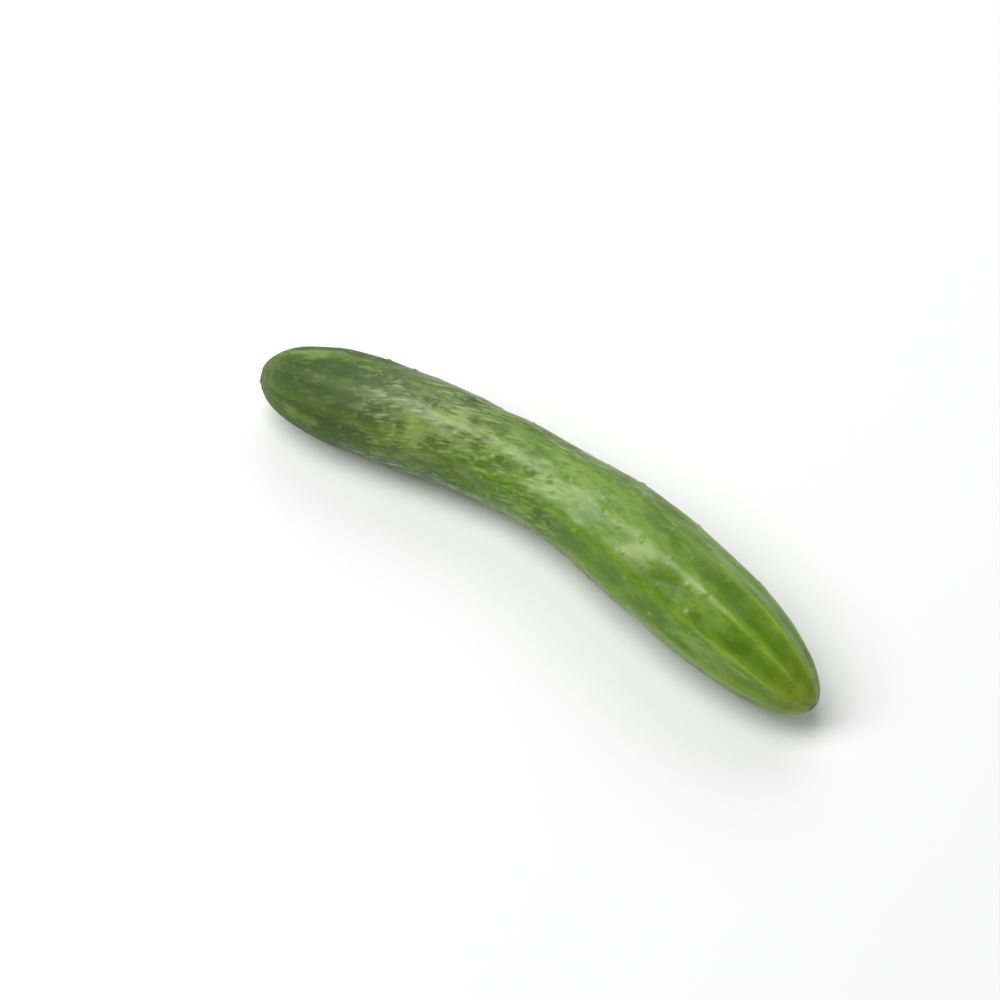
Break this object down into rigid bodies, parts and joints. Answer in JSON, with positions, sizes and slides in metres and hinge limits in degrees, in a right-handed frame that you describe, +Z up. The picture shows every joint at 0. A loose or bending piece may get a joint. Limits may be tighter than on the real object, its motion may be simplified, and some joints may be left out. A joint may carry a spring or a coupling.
{
  "type": "cucumber",
  "caption": "Whole fresh cucumber lying on its side: a long, slightly bent body with low ribs and warts, a cut stalk stub at one end and a blossom scar at the other.",
  "frame": {"origin": "middle of the bounding box in plan, on the surface that the cucumber lies on", "axes": "+X from the stem end to the blossom end, +Z up, and the bend bulges towards +Y"},
  "size_m": [0.2076, 0.0424, 0.0344],
  "materials": {
    "skin": "waxy, half-gloss green skin"
  },
  "bodies": {
    "root": {"cucumber": "skin"}
  },
  "joints": []
}
